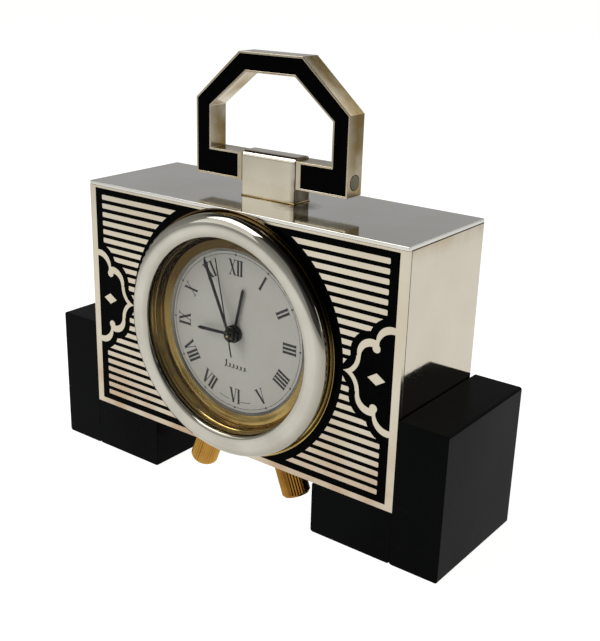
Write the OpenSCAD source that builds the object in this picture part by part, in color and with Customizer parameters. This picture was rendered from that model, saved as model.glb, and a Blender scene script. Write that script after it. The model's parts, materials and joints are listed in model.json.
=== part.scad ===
// Mantel clock: an enamelled silver case on onyx feet, with a folding bail handle and a
// round quartz alarm movement. Millimetres. +Z is up and the dial faces -Y. The origin is
// on the floor, at the middle of the whole clock's footprint.

/* [Case] */
// Width of the case
case_w = 100; // [90:1:130]
// Height of the case, without feet or handle
case_h = 64.7; // [64:0.1:80]
// Depth of the case, front face to back cover
case_d = 34.3; // [34:0.1:60]
// Thickness of the front plate
front_t = 1.2; // [1:0.1:2]
// Thickness of the two side plates
side_t = 1.2; // [1:0.1:2]
// Thickness of the top plate
top_t = 1.0; // [0.8:0.1:2]
// Thickness of the bottom plate
bottom_t = 1.0; // [0.8:0.1:2]
// Thickness of the back cover
back_t = 1.2; // [1:0.1:2]
// Radius of the four corner posts
post_r = 2.5; // [2:0.1:3]

/* [Enamel pattern] */
// Silver border at the left and right of the front plate
border_side = 2.1; // [1.5:0.1:4]
// Silver border along the bottom of the front plate
border_low = 1.5; // [1:0.1:4]
// Silver border along the top of the front plate
border_top = 0.6; // [0.4:0.1:4]
// Depth of the enamel
enamel_t = 0.5; // [0.3:0.05:0.7]
// How far the enamel lies below the silver
enamel_sink = 0.05; // [0.02:0.01:0.15]
// Distance from one stripe to the next
stripe_pitch = 2.38; // [2:0.02:3]
// Height of one stripe
stripe_t = 1.35; // [0.8:0.05:1.6]
// Rounding at the ends of the stripes
stripe_round = 0.3; // [0.1:0.05:0.4]
// Height of the first stripe above the middle of the case
stripe_first = 2.2; // [1.5:0.1:3]
// Black margin between the side border and the stripes
stripe_margin = 2.4; // [1:0.1:5]
// Radius of the black circle that cuts the stripes around the bezel
stripe_circle_r = 34.4; // [33:0.1:38]
// Width of the silver line of the cartouche
cartouche_line = 1.15; // [0.8:0.05:1.5]

/* [Feet] */
// Height of the feet below the case
foot_h = 13.9; // [13.5:0.1:25]
// Width of the block under the case
foot_block_w = 23.3; // [15:0.1:26]
// Width of the upright beside the case
foot_upright_w = 13.2; // [8:0.1:20]
// Height of the upright above the case's bottom
foot_upright_rise = 24; // [16:0.5:40]
// How far the feet stand out behind the case
foot_back = 2.0; // [0:0.1:4]
// Rounding along the edges of the feet
foot_round = 0.7; // [0.3:0.1:1.5]

/* [Handle] */
// Height of the handle's pivot above the case
pivot_h = 7.4; // [6:0.1:12]
// Half the width of the handle
bail_half_w = 23.9; // [18:0.1:35]
// Top of the handle above the case
bail_top = 35.7; // [28:0.1:50]
// Height where the handle's slanting corners start
bail_shoulder = 23.4; // [18:0.1:26]
// Half the width of the handle's flat top
bail_crown = 9.8; // [5:0.1:14]
// Width of the handle's bar
bail_bar = 4.9; // [3.5:0.1:6]
// Depth of the handle, front to back
bail_d = 6.0; // [4:0.1:6.2]
// Height of the handle's lower bars
bail_low_h = 7.0; // [5:0.1:8]
// Silver rim around the handle's enamel
bail_rim = 0.55; // [0.4:0.05:1.5]
// Half the width of the hinge block on the case
knuckle_half_w = 8.4; // [6:0.1:12]
// Depth of the hinge block
knuckle_d = 6.2; // [5:0.1:8]
// Radius of the hinge pin
pin_r = 1.2; // [0.8:0.05:1.6]
// Radius of the two heads of the hinge pin
pin_head_r = 1.9; // [1.7:0.05:2.3]
// Gap at each side of the hinge block
knuckle_gap = 0.15; // [0.1:0.05:0.5]

/* [Bezel and dial] */
// Largest radius of the bezel ring
bezel_r = 31.6; // [31:0.1:33]
// Radius of the bezel's opening
bezel_open_r = 25.8; // [24:0.1:26.5]
// How far the bezel stands out from the case
bezel_proud = 4.35; // [3.5:0.05:6]
// Radius of the brass flange on the front plate
flange_r = 32.3; // [32:0.1:34]
// Thickness of the brass flange
flange_t = 0.55; // [0.4:0.05:1]
// Outer radius of the movement's drum
drum_r = 28.95; // [28.5:0.05:29.5]
// Wall of the drum
drum_wall = 0.75; // [0.5:0.05:1.2]
// Radius of the dial that can be seen
dial_open_r = 21.3; // [18:0.1:22]
// How far the dial's face lies behind the front of the case
dial_depth = 1.9; // [1.5:0.1:2.5]
// Thickness of the crystal
crystal_t = 0.8; // [0.6:0.1:1.2]
// Depth of the drum behind the front of the case
drum_d = 27; // [27:0.1:40]

/* [Hands] */
// Time shown, hours
show_hour = 8; // [0:1:11]
// Time shown, minutes
show_minute = 55; // [0:1:59]
// Time shown, seconds
show_second = 58; // [0:1:59]
// Alarm hand's angle from twelve
alarm_angle = 13; // [0:1:359]
// Length of the hour hand
hour_len = 11.6; // [9:0.1:16]
// Length of the minute hand
minute_len = 20.4; // [14:0.1:20.8]
// Length of the seconds hand
second_len = 20.2; // [14:0.1:20.8]
// Length of the alarm hand
alarm_len = 12.8; // [8:0.1:16]
// Radial clearance of the arbors and tubes
run_gap = 0.05; // [0.03:0.01:0.08]

/* [Crowns] */
// Angle of each crown from straight down
crown_angle = 21; // [18:1:26]
// Depth of the crowns' axes behind the front of the case
crown_depth = 8.0; // [7.5:0.1:9]
// Radius of the crowns
crown_r = 3.8; // [3:0.1:4.2]
// Length of the crowns
crown_len = 9.2; // [6:0.1:9.4]
// Gap between the underside of the case and the crowns, along their axes
crown_gap = 1.95; // [1.7:0.05:2.1]
// How far a crown pulls out
crown_pull = 1.5; // [1:0.1:1.5]

/* [Hidden] */
$fn = 64;

bezel_back = foot_back;
front_y = (bezel_proud - case_d - foot_back) / 2;
centre_h = case_h / 2;
panel_h = case_h - top_t;
field_x = case_w / 2 - border_side;
field_top = panel_h - border_top;
inner_w = case_w - 2 * side_t;
hole_r = drum_r + 0.75;
sleeve_r = drum_r + 0.65;
tiny = 0.01;
stripe_rows = 1 + floor((field_top - centre_h - stripe_first - stripe_t) / stripe_pitch);

// Corner posts and back screws
post_inset = 5;
post_x = case_w / 2 - post_inset;
post_low = post_inset;
post_high = panel_h - post_inset;
screw_r = 0.9;
screw_head_r = 1.9;
screw_head_t = 0.8;
screw_grip = 7;

// Feet
foot_d = case_d + foot_back;
foot_screw_r = 1.0;
foot_screw_len = 8;
foot_screw_x = case_w / 2 - foot_block_w / 2;
foot_screw_rise = foot_upright_rise / 2;
foot_screw_y = [case_d * 0.26, case_d * 0.74];

// Handle
bail_low = pivot_h - bail_low_h / 2;
bail_slant = atan2(bail_half_w - bail_crown, bail_top - bail_shoulder);
bail_rim_end = 1.5;
pin_head_t = 0.9;
knuckle_h = pivot_h + 4.2;
knuckle_round = 1.5;

// Inside of the bezel, as heights in front of the case's face
crystal_front = 3.3;
crystal_back = crystal_front - crystal_t;
crystal_r = bezel_open_r + 0.5;
gasket_t = 0.3;
neck_r = bezel_r - 1.0;
neck_top = 2.4;
seat_h = crystal_back - gasket_t;
groove_h = -0.6;
throat_r = bezel_open_r - 0.85;
rim_r = dial_open_r + 0.8;
rim_h = -dial_depth + 0.4;
dial_r = 26.5;
dial_t = 0.4;
drum_in_r = drum_r - drum_wall;
drum_end = -drum_d;

// Levels of the movement, as heights in front of the case's face
front_plate_lo = -dial_depth - dial_t - 1;
alarm_level = front_plate_lo - 0.7;
hour_level = alarm_level - 0.9;
minute_level = hour_level - 1.0;
centre_level = -10.1;
fifth_level = -11.1;
third_level = -12.4;
seconds_level = -13.5;
rear_plate_top = -14;
rear_plate_lo = -15;
wheel_t = 0.5;

// Wheels: teeth and modules. Pairs in mesh share a module.
cannon_teeth = 12;
minute_teeth = 36;
setting_teeth = 20;
motion_module = 0.5;
minute_pinion_teeth = 10;
hour_teeth = 40;
hour_module = 0.48;
centre_teeth = 64;
third_pinion_teeth = 8;
centre_module = 0.34;
third_teeth = 60;
seconds_pinion_teeth = 8;
third_module = 0.36;
fifth_teeth = 60;
rotor_teeth = 8;
rotor_module = 0.24;
alarm_teeth = 60;
alarm_setting_teeth = 24;
stem_pinion_teeth = 8;
alarm_module = 0.4;
seconds_teeth = 60;
seconds_module = 0.3;

// Radii of the coaxial arbor and tubes, inside to outside
arbor_r = 0.5;
arbor_tip_r = 0.25;
minute_tube_r = 1.0;
hour_tube_r = 1.5;
alarm_tube_r = 1.95;
stud_r = 0.5;

// Places of the wheels that stand beside the centre, as angle and distance from it
minute_dir = -20;
minute_dist = motion_module * (cannon_teeth + minute_teeth) / 2;
third_dir = 160;
third_dist = third_module * (third_teeth + seconds_pinion_teeth) / 2;
fifth_dir = 60;
fifth_dist = 12.7;
rotor_dir = 30;
rotor_dist = rotor_module * (fifth_teeth + rotor_teeth) / 2;
alarm_dir = -90 - crown_angle;
time_dir = -90 + crown_angle;
alarm_set_dist = alarm_module * (alarm_teeth + alarm_setting_teeth) / 2;
set_mesh = motion_module * (minute_teeth + setting_teeth) / 2;
set_turn = time_dir - minute_dir;
time_set_dist = minute_dist * cos(set_turn) + sqrt(pow(set_mesh, 2) - pow(minute_dist * sin(set_turn), 2));
function polar(angle, dist) = [dist * cos(angle), dist * sin(angle)];
minute_at = polar(minute_dir, minute_dist);
third_at = polar(third_dir, third_dist);
fifth_at = polar(fifth_dir, fifth_dist);
rotor_at = fifth_at + polar(rotor_dir, rotor_dist);
alarm_set_at = polar(alarm_dir, alarm_set_dist);
time_set_at = polar(time_dir, time_set_dist);
pillar_dirs = [45, 135, 270];
pillar_dist = 25.5;
pillar_r = 1.2;

// Phase of a wheel that meshes with another, so that its gap faces the other's tooth
function in_mesh(line, teeth, phase, other) =
    let (pitch = 360 / teeth, part = (line - phase) / pitch)
    line + 180 + (part - floor(part) + 0.5) * 360 / other;
minute_phase = in_mesh(minute_dir, cannon_teeth, 0, minute_teeth);
minute_pinion_phase = 0;
hour_phase = in_mesh(minute_dir + 180, minute_pinion_teeth, minute_pinion_phase, hour_teeth);
setting_line = atan2(time_set_at.y - minute_at.y, time_set_at.x - minute_at.x);
setting_phase = in_mesh(setting_line, minute_teeth, minute_phase, setting_teeth);
third_pinion_phase = in_mesh(third_dir, centre_teeth, 0, third_pinion_teeth);
third_phase = in_mesh(third_dir, seconds_pinion_teeth, 0, third_teeth);
rotor_phase = in_mesh(rotor_dir, fifth_teeth, 0, rotor_teeth);
alarm_set_phase = in_mesh(alarm_dir, alarm_teeth, 0, alarm_setting_teeth);
face_phase = alarm_dir + 180 / alarm_setting_teeth;

// Stems and crowns, as distances from the dial's centre
stem_r = 0.7;
shoulder_r = 1.3;
collar_r = 1.55;
bush_r = 2.4;
sleeve_len = crown_depth - bush_r - 0.3;
bush_in = drum_r - 2.75;
bush_out = drum_r + 2.05;
collar_in = bush_in + 0.4;
collar_out = bush_out - 1.0;
shoulder_t = 0.6;
crown_in = centre_h / cos(crown_angle) + crown_gap;
crown_reach = crown_in + crown_len;
stem_bite = 3.5;
stem_pinion_r = alarm_module * stem_pinion_teeth / 2;
face_in = 4.3;
face_out = 5.1;
face_tip = -crown_depth + stem_pinion_r - 0.33;
face_root = -crown_depth + stem_pinion_r + 0.55;
alarm_pinion_in = alarm_set_dist + 2.7;
alarm_pinion_out = alarm_set_dist + 5.3;
time_pinion_in = time_set_dist + 0.8;
time_pinion_out = time_set_dist + 2.05;
knurls = 32;
knurl_depth = 0.22;

// Hands: heights in front of the case's face
hand_t = 0.25;
alarm_hand_h = -1.45;
hour_hand_h = -0.5;
minute_hand_h = 0.45;
second_hand_h = 0.95;
second_boss_top = second_hand_h + 0.45;
boss_gap = 0.12;
minute_turn = show_minute * 6 + show_second / 10;
hour_turn = show_hour * 30 + show_minute / 2;
second_turn = show_second * 6;

// Battery and electrics
battery_r = 5.25;
battery_len = 44.5;
battery_up = 7.3;
battery_h = -21.4;
coil_up = 21.1;
stator_h = -12.9;
stator_t = 0.6;

silver = [0.80, 0.78, 0.73];
enamel_black = [0.03, 0.03, 0.03];
onyx = [0.10, 0.12, 0.11];
brass = [0.72, 0.55, 0.24];
steel = [0.60, 0.60, 0.62];
plastic = [0.15, 0.15, 0.16];

module in_case() { translate([0, front_y, foot_h]) children(); }

// Local X is right, local Y is up, and local Z comes forward from the front face
module in_insert() { in_case() translate([0, 0, centre_h]) rotate([90, 0, 0]) children(); }

// Local Z runs out from the dial's centre along a stem
module along_stem(dir) { in_insert() translate([0, 0, -crown_depth]) rotate([0, 90, 0]) rotate([-dir, 0, 0]) children(); }

module at(place) { translate([place.x, place.y, 0]) children(); }

module ring(outer, inner, lo, hi) {
    translate([0, 0, lo]) linear_extrude(hi - lo) difference() {
        circle(outer);
        circle(inner);
    }
}

module rod(r, lo, hi) { translate([0, 0, lo]) cylinder(r = r, h = hi - lo); }

module rounded_box(w, h, r) {
    translate([r, 0]) square([w - 2 * r, h]);
    translate([0, r]) square([w, h - 2 * r]);
    for (x = [r, w - r], y = [r, h - r]) translate([x, y]) circle(r, $fn = 32);
}

// Narrow straight-sided teeth with plenty of backlash
function tooth(angle, pitch, root, tip) =
    [for (k = [[-0.24, root], [-0.09, tip], [0.09, tip], [0.24, root]])
        polar(angle + k[0] * pitch, k[1])];
function gear_points(teeth, mod, phase) =
    let (pitch = 360 / teeth, root = mod * (teeth / 2 - 1.15), tip = mod * (teeth / 2 + 0.8))
    [for (i = [0:teeth - 1]) each tooth(phase + i * pitch, pitch, root, tip)];
module gear(teeth, mod, phase, lo, hi, bore) {
    translate([0, 0, lo]) linear_extrude(hi - lo) difference() {
        polygon(gear_points(teeth, mod, phase));
        circle(bore);
    }
}

// Case -------------------------------------------------------------------

module panel() { translate([-case_w / 2, 0]) square([case_w, panel_h]); }

module half_field() {
    difference() {
        translate([0, border_low]) square([field_x, field_top - border_low]);
        translate([0, centre_h]) circle(flange_r - 0.8, $fn = 96);
    }
}

// Upper half of the scalloped silver line, from its point to the side border.
// X is measured from the border inwards as negative, Y up from the middle.
module cartouche_line_half() {
    ogee_r = 5.2;
    ogee_up = 4.5;
    intersection() {
        translate([-14.6, ogee_up]) difference() {
            circle(ogee_r + cartouche_line / 2);
            circle(ogee_r - cartouche_line / 2);
        }
        translate([-14.6, 0]) square([7, ogee_up + tiny]);
    }
    intersection() {
        difference() {
            translate([-5.8, 5.4]) circle(4.05);
            translate([-5.7, ogee_up]) circle(3.1);
        }
        translate([-11, ogee_up]) square([6, 6]);
    }
    intersection() {
        difference() {
            translate([-0.7, 9.3]) circle(4.2);
            translate([-0.3, 7.9]) circle(3.9);
        }
        translate([-5.5, 8.6]) square([5.6, 6]);
    }
    translate([-5.1, 7.4]) square([1.05, 2]);
    translate([-4.7, 7.4]) circle(1.05);
}

module cartouche_margin_half() {
    translate([-5.8, 5.4]) circle(5.9);
    translate([-0.7, 9.3]) circle(6.1);
    translate([-7, 0]) square([7, 9.5]);
    polygon([[-14.6, 0], [-11.5, 4.4], [-6, 4.4], [-6, 0]]);
}

module both_halves() {
    children();
    mirror([0, 1]) children();
}

module half_pattern() {
    difference() {
        for (i = [0:stripe_rows - 1], s = [-1, 1])
            translate([bezel_open_r / 2, centre_h + s * (stripe_first + i * stripe_pitch) - stripe_t / 2])
                rounded_box(field_x - stripe_margin - bezel_open_r / 2, stripe_t, stripe_round);
        translate([0, centre_h]) circle(stripe_circle_r, $fn = 96);
        translate([field_x, centre_h]) both_halves() cartouche_margin_half();
    }
    translate([field_x, centre_h]) {
        both_halves() cartouche_line_half();
        translate([-4.3, 0]) polygon([[-2.4, 0], [0, -1.5], [2.4, 0], [0, 1.5]]);
    }
}

module front_hole() { translate([0, centre_h]) circle(hole_r, $fn = 96); }

module front_plate() {
    color(silver) in_case() rotate([90, 0, 0]) {
        translate([0, 0, -front_t]) linear_extrude(front_t - enamel_t) difference() {
            panel();
            front_hole();
        }
        translate([0, 0, -enamel_t]) linear_extrude(enamel_t) {
            difference() {
                panel();
                front_hole();
                half_field();
                mirror([1, 0]) half_field();
            }
            half_pattern();
            mirror([1, 0]) half_pattern();
        }
    }
}

module enamel_half() {
    color(enamel_black) in_case() rotate([90, 0, 0])
        translate([0, 0, -enamel_t]) linear_extrude(enamel_t - enamel_sink) difference() {
            half_field();
            half_pattern();
        }
}
module enamel_right() { enamel_half(); }
module enamel_left() { mirror([1, 0, 0]) enamel_half(); }

module top_plate() {
    color(silver) in_case() translate([-case_w / 2, 0, panel_h]) cube([case_w, case_d, top_t]);
}

module side_plate(s) {
    color(silver) in_case() difference() {
        translate([s > 0 ? case_w / 2 - side_t : -case_w / 2, front_t, 0])
            cube([side_t, case_d - front_t, panel_h]);
        for (y = foot_screw_y) translate([s * case_w / 2, y, foot_screw_rise])
            rotate([0, 90, 0]) cylinder(r = foot_screw_r, h = 4 * side_t, center = true);
    }
}
module side_plate_left() { side_plate(-1); }
module side_plate_right() { side_plate(1); }

module bottom_plate() {
    color(silver) difference() {
        in_case() translate([-inner_w / 2, front_t, 0]) cube([inner_w, case_d - front_t - back_t, bottom_t]);
        for (dir = [alarm_dir, time_dir])
            along_stem(dir) rod(shoulder_r + 0.7, bush_out, crown_in + crown_pull);
        in_case() for (s = [-1, 1], y = foot_screw_y)
            translate([s * foot_screw_x, y, -1]) cylinder(r = foot_screw_r, h = bottom_t + 2);
    }
}

module at_posts() {
    for (x = [-post_x, post_x], z = [post_low, post_high]) translate([x, 0, z]) rotate([-90, 0, 0]) children();
}

module back_cover() {
    color(silver) in_case() difference() {
        translate([-inner_w / 2, case_d - back_t, 0]) cube([inner_w, back_t, panel_h]);
        at_posts() cylinder(r = screw_r, h = case_d + 1);
    }
}

module corner_posts() {
    color(silver) in_case() at_posts() difference() {
        rod(post_r, front_t, case_d - back_t);
        rod(screw_r, case_d - back_t - screw_grip, case_d);
    }
}

module back_screws() {
    color(steel) in_case() at_posts() difference() {
        union() {
            rod(screw_r, case_d - back_t - screw_grip + 0.5, case_d + tiny);
            rod(screw_head_r, case_d, case_d + screw_head_t);
        }
        translate([-screw_head_r, -0.2, case_d + screw_head_t / 2]) cube([2 * screw_head_r, 0.4, screw_head_t]);
    }
}

// Feet -------------------------------------------------------------------

module foot_screw_holes() {
    for (y = foot_screw_y) {
        translate([foot_screw_x, y, -foot_screw_len]) cylinder(r = foot_screw_r, h = foot_screw_len + 1);
        translate([case_w / 2 - 1, y, foot_screw_rise]) rotate([0, 90, 0])
            cylinder(r = foot_screw_r, h = foot_screw_len + 1);
    }
}

module foot_slab(x, w, top) {
    color(onyx) in_case() difference() {
        translate([x, foot_d, -foot_h]) rotate([90, 0, 0])
            linear_extrude(foot_d) rounded_box(w, foot_h + top, foot_round);
        foot_screw_holes();
    }
}
module foot_block_right() { foot_slab(case_w / 2 - foot_block_w, foot_block_w, 0); }
module foot_block_left() { mirror([1, 0, 0]) foot_block_right(); }
module foot_upright_right() { foot_slab(case_w / 2, foot_upright_w, foot_upright_rise); }
module foot_upright_left() { mirror([1, 0, 0]) foot_upright_right(); }

module foot_screw() {
    rod(foot_screw_r, -foot_screw_len, tiny);
    rod(2 * foot_screw_r, 0, 1);
}
module foot_screws() {
    color(steel) in_case() for (s = [0, 1], y = foot_screw_y) mirror([s, 0, 0]) {
        translate([foot_screw_x, y, bottom_t]) foot_screw();
        translate([case_w / 2 - side_t, y, foot_screw_rise]) rotate([0, -90, 0]) foot_screw();
    }
}

// Handle -----------------------------------------------------------------

// Outline of the octagonal handle, drawn in from its outer edge by e. The low edge is at base.
function bail_outline(e, base) =
    let (half = bail_half_w - e,
         shoulder = bail_shoulder - e * tan(bail_slant_normal / 2),
         crown = bail_crown - e * cos(bail_slant_normal) / (1 + sin(bail_slant_normal)),
         top = bail_top - e)
    [[half, base], [half, shoulder], [crown, top], [-crown, top], [-half, shoulder], [-half, base]];
bail_slant_normal = 90 - bail_slant;

module bail_shape(e_out, e_in, low, low_top, gap) {
    difference() {
        polygon(bail_outline(e_out, low));
        polygon(bail_outline(e_in, low_top));
        translate([-gap, low - 1]) square([2 * gap, low_top - low + 1 + tiny]);
    }
}

module at_bail() { in_case() translate([0, case_d / 2, case_h]) children(); }

module bail_inlay() {
    bail_shape(bail_rim, bail_bar - bail_rim, bail_low + bail_rim, bail_low + bail_low_h - bail_rim,
        knuckle_half_w + knuckle_gap + bail_rim_end);
}

module handle_frame() {
    color(silver) at_bail() difference() {
        rotate([90, 0, 0]) translate([0, 0, -bail_d / 2]) linear_extrude(bail_d)
            bail_shape(0, bail_bar, bail_low, bail_low + bail_low_h, knuckle_half_w + knuckle_gap);
        for (s = [-1, 1]) translate([0, s * bail_d / 2, 0]) rotate([90, 0, 0])
            translate([0, 0, -enamel_t]) linear_extrude(2 * enamel_t) bail_inlay();
        translate([0, 0, pivot_h]) rotate([0, 90, 0]) {
            cylinder(r = pin_r, h = 3 * bail_half_w, center = true);
            for (s = [0, 1]) mirror([0, 0, s]) rod(pin_head_r, bail_half_w - pin_head_t, bail_half_w + 1);
        }
    }
}

module handle_enamel(s) {
    color(enamel_black) at_bail() translate([0, s * (bail_d / 2 - enamel_t / 2), 0]) rotate([90, 0, 0])
        linear_extrude(enamel_t, center = true) bail_inlay();
}
module handle_enamel_front() { handle_enamel(-1); }
module handle_enamel_back() { handle_enamel(1); }

module hinge_pin() {
    color(silver) at_bail() translate([0, 0, pivot_h]) rotate([0, 90, 0]) {
        cylinder(r = pin_r, h = 2 * bail_half_w - pin_head_t, center = true);
        for (s = [0, 1]) mirror([0, 0, s]) rod(pin_head_r, bail_half_w - pin_head_t, bail_half_w);
    }
}

module hinge_block() {
    color(silver) at_bail() difference() {
        translate([-knuckle_half_w, 0, 0]) rotate([90, 0, 90]) linear_extrude(2 * knuckle_half_w) {
            translate([-knuckle_d / 2, 0]) rounded_box(knuckle_d, knuckle_h, knuckle_round);
            translate([-knuckle_d / 2, 0]) square([knuckle_d, knuckle_round]);
        }
        translate([0, 0, pivot_h]) rotate([0, 90, 0])
            cylinder(r = pin_r + run_gap, h = 3 * knuckle_half_w, center = true);
    }
}

// Bezel, crystal and dial ------------------------------------------------

bezel_mid_r = bezel_r - 3.2;
bezel_lip_h = crystal_front + 0.3;
function bezel_outer_curve() =
    [for (a = [0:9:90]) [bezel_mid_r + (bezel_r - bezel_mid_r) * cos(a), neck_top + (bezel_proud - neck_top) * sin(a)]];
function bezel_inner_curve() =
    [for (a = [9:9:90]) [bezel_mid_r - (bezel_mid_r - bezel_open_r) * sin(a),
        bezel_lip_h + (bezel_proud - bezel_lip_h) * cos(a)]];

module bezel_ring() {
    color(silver) in_insert() rotate_extrude($fn = 128) polygon(concat(
        [[neck_r, flange_t], [neck_r, neck_top]], bezel_outer_curve(), bezel_inner_curve(),
        [[bezel_open_r, crystal_front], [crystal_r, crystal_front], [crystal_r, flange_t]]));
}

module bezel_flange() {
    color(brass) in_insert() {
        ring(flange_r, drum_r, 0, flange_t);
        ring(sleeve_r, drum_r, -sleeve_len, tiny);
    }
}

module retaining_ring() {
    color(brass) in_insert() ring(sleeve_r + 1.4, sleeve_r, -front_t - 2, -front_t);
}

module crystal() {
    color([0.85, 0.9, 0.9, 0.3]) in_insert() rod(crystal_r, crystal_back, crystal_front);
}

module crystal_gasket() {
    color(plastic) in_insert() ring(crystal_r, crystal_r - gasket_t, seat_h, crystal_back);
}

module outer_rehaut() {
    color(brass) in_insert() rotate_extrude($fn = 96) polygon([[crystal_r, groove_h], [crystal_r, seat_h],
        [crystal_r - gasket_t, seat_h], [crystal_r - gasket_t, crystal_back],
        [bezel_open_r - 0.1, crystal_back], [throat_r, groove_h]]);
}

module inner_rehaut() {
    color(brass) in_insert() rotate_extrude($fn = 96) polygon([[drum_in_r - 1, groove_h], [throat_r, groove_h],
        [throat_r - 0.25, groove_h - 0.55], [throat_r - 0.6, groove_h - 0.3], [rim_r, rim_h],
        [rim_r, -dial_depth], [drum_in_r - 1, -dial_depth]]);
}

module dial_rim() {
    color(steel) in_insert() rotate_extrude($fn = 96) polygon([[rim_r, rim_h],
        [dial_open_r, -dial_depth + 0.15], [dial_open_r, -dial_depth], [rim_r, -dial_depth]]);
}

module dial() {
    color([0.85, 0.85, 0.82]) in_insert() ring(dial_r, alarm_tube_r + 3 * run_gap, -dial_depth - dial_t, -dial_depth);
}

// Movement housing -------------------------------------------------------

module drum() {
    color(brass) difference() {
        in_insert() ring(drum_r, drum_in_r, drum_end, flange_t);
        for (dir = [alarm_dir, time_dir]) along_stem(dir) rod(bush_r, bush_in - 1, bush_out);
    }
}

module rear_cap() {
    color(brass) in_insert() {
        rod(drum_r, drum_end - 1, drum_end);
        ring(drum_in_r, drum_in_r - 0.6, drum_end - tiny, drum_end + 2);
    }
}

module movement_front_plate() {
    color(plastic) in_insert() difference() {
        rod(drum_in_r, front_plate_lo, -dial_depth - dial_t);
        rod(alarm_tube_r + run_gap, front_plate_lo - 1, 0);
    }
}

module at_pillars() { in_insert() for (dir = pillar_dirs) at(polar(dir, pillar_dist)) children(); }

module movement_rear_plate() {
    color(plastic) difference() {
        in_insert() rod(drum_in_r, rear_plate_lo, rear_plate_top);
        in_insert() rod(arbor_r + run_gap, rear_plate_lo - 1, 0);
        at_pillars() rod(0.6, rear_plate_lo - 1, 0);
    }
}

module movement_pillars() {
    color(plastic) at_pillars() difference() {
        rod(pillar_r, rear_plate_top, front_plate_lo);
        rod(0.6, rear_plate_top - 1, rear_plate_top + 5);
    }
}

module movement_screws() {
    color(steel) at_pillars() {
        rod(0.6, rear_plate_lo - tiny, rear_plate_top + 4);
        rod(1.5, rear_plate_lo - 0.8, rear_plate_lo);
    }
}

module wheel_studs() {
    color(steel) in_insert() {
        at(minute_at) rod(stud_r, rear_plate_top, hour_level + wheel_t + 0.3);
        at(time_set_at) rod(stud_r, rear_plate_top, minute_level + wheel_t + 0.3);
        at(third_at) rod(stud_r, rear_plate_top, centre_level + wheel_t + 0.3);
        at(fifth_at) rod(stud_r, rear_plate_top, fifth_level + wheel_t + 0.3);
        at(rotor_at) rod(stud_r / 2, rear_plate_top, fifth_level + wheel_t + 0.3);
        at(alarm_set_at) rod(stud_r, rear_plate_top, alarm_level + wheel_t + 0.1);
    }
}

// Hands ------------------------------------------------------------------

// A baton hand that points along local Y
module baton(len, base_w, tip_w, tail) {
    polygon([[-base_w / 2, -tail], [-tip_w / 2, len - tip_w], [0, len], [tip_w / 2, len - tip_w], [base_w / 2, -tail]]);
}

module hand(turn, len, base_w, tip_w, tail, h, boss_r, boss_lo, boss_hi, bore) {
    color("black") in_insert() rotate([0, 0, -turn]) difference() {
        union() {
            translate([0, 0, h]) linear_extrude(hand_t) baton(len, base_w, tip_w, tail);
            rod(boss_r, boss_lo, boss_hi);
        }
        rod(bore, boss_lo - 1, boss_hi + 1);
    }
}

module alarm_hand() {
    hand(alarm_angle, alarm_len, 0.7, 0.8, 0, alarm_hand_h, 2.3, -dial_depth + boss_gap,
        hour_hand_h - boss_gap, alarm_tube_r);
}
module hour_hand() {
    hand(hour_turn, hour_len, 0.75, 0.95, 0, hour_hand_h, 1.9, hour_hand_h, minute_hand_h - boss_gap, hour_tube_r);
}
module minute_hand() {
    hand(minute_turn, minute_len, 0.7, 0.9, 0, minute_hand_h, 1.6, minute_hand_h, second_hand_h - boss_gap,
        minute_tube_r);
}
module seconds_hand() {
    hand(second_turn, second_len, 0.34, 0.2, 5.6, second_hand_h, 0.8, second_hand_h, second_boss_top, arbor_tip_r);
}

// Wheels -----------------------------------------------------------------

module alarm_wheel() {
    color(brass) in_insert() {
        gear(alarm_teeth, alarm_module, 0, alarm_level, alarm_level + wheel_t, hour_tube_r + run_gap);
        ring(alarm_tube_r, hour_tube_r + run_gap, alarm_level, hour_hand_h - boss_gap);
    }
}

module hour_wheel() {
    color(brass) in_insert() {
        gear(hour_teeth, hour_module, hour_phase, hour_level, hour_level + wheel_t, minute_tube_r + run_gap);
        ring(hour_tube_r, minute_tube_r + run_gap, hour_level, minute_hand_h - boss_gap);
    }
}

module centre_wheel() {
    color(brass) in_insert() {
        gear(centre_teeth, centre_module, 0, centre_level, centre_level + wheel_t, arbor_r + run_gap);
        gear(cannon_teeth, motion_module, 0, minute_level - 0.1, minute_level + wheel_t + 0.1, arbor_r + run_gap);
        ring(minute_tube_r, arbor_r + run_gap, centre_level, second_hand_h - boss_gap);
    }
}

module seconds_wheel() {
    color(brass) in_insert() {
        gear(seconds_teeth, seconds_module, 0, seconds_level, seconds_level + wheel_t, arbor_r);
        gear(seconds_pinion_teeth, third_module, 0, seconds_level + wheel_t + 0.1, third_level + wheel_t + 0.1, arbor_r);
        ring(0.9, arbor_r, seconds_level, seconds_level + wheel_t + 0.2);
        rod(arbor_r, rear_plate_lo, second_hand_h);
        rod(arbor_tip_r, second_hand_h - tiny, second_boss_top + 0.05);
    }
}

module third_wheel() {
    color(brass) in_insert() at(third_at) {
        gear(third_teeth, third_module, third_phase, third_level, third_level + wheel_t, stud_r + run_gap);
        gear(third_pinion_teeth, centre_module, third_pinion_phase, third_level + wheel_t, centre_level + wheel_t + 0.1,
            stud_r + run_gap);
    }
}

module minute_wheel() {
    color(brass) in_insert() at(minute_at) {
        gear(minute_teeth, motion_module, minute_phase, minute_level, minute_level + wheel_t, stud_r + run_gap);
        gear(minute_pinion_teeth, hour_module, minute_pinion_phase, minute_level + wheel_t, hour_level + wheel_t,
            stud_r + run_gap);
    }
}

// Face teeth, which point back at a stem's pinion
module face_teeth(teeth, phase) {
    for (i = [0:teeth - 1]) rotate([0, 0, phase + i * 360 / teeth])
        translate([face_in + 0.1, -0.2, face_tip]) cube([face_out - face_in - 0.2, 0.4, face_root - face_tip + 0.1]);
}

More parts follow.
